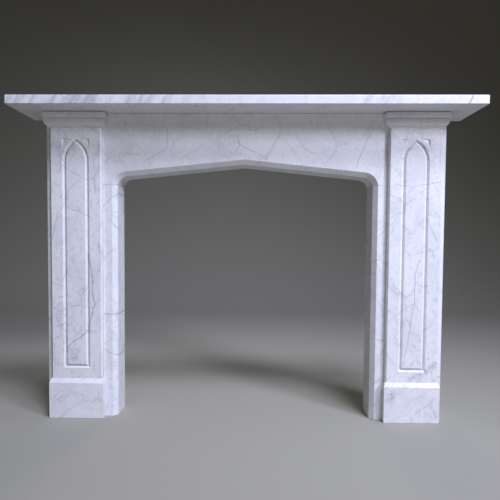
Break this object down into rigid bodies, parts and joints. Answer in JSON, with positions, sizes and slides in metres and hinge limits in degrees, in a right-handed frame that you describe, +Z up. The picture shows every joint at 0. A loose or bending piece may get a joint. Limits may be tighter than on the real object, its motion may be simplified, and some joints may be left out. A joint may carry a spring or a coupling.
{
  "type": "fireplace mantel",
  "caption": "White veined marble fireplace mantel: low pointed arch, two pilasters with sunk lancet panels, stepped capitals, bevelled plinths and a plain square-edged shelf",
  "frame": {"origin": "on the floor, under the middle of the bounding box", "axes": "+X along the shelf to the viewer's right, +Y back towards the wall, +Z up; the carved front faces -Y"},
  "size_m": [1.62, 0.222, 1.14],
  "materials": {
    "shelf_marble": "polished white marble with broad soft grey bands",
    "frieze_marble": "polished white marble with fine grey veins",
    "leg_marble": "polished white marble with fine grey veins",
    "pilaster_marble": "polished white marble with fine grey veins",
    "capital_marble": "polished white marble with fine grey veins",
    "plinth_marble": "polished white marble, slightly worn at the arrises"
  },
  "bodies": {
    "root": {"shelf": "shelf_marble", "frieze": "frieze_marble", "left_leg": "leg_marble", "right_leg": "leg_marble", "left_pilaster": "pilaster_marble", "right_pilaster": "pilaster_marble", "left_capital": "capital_marble", "right_capital": "capital_marble", "left_plinth": "plinth_marble", "right_plinth": "plinth_marble"}
  },
  "joints": []
}
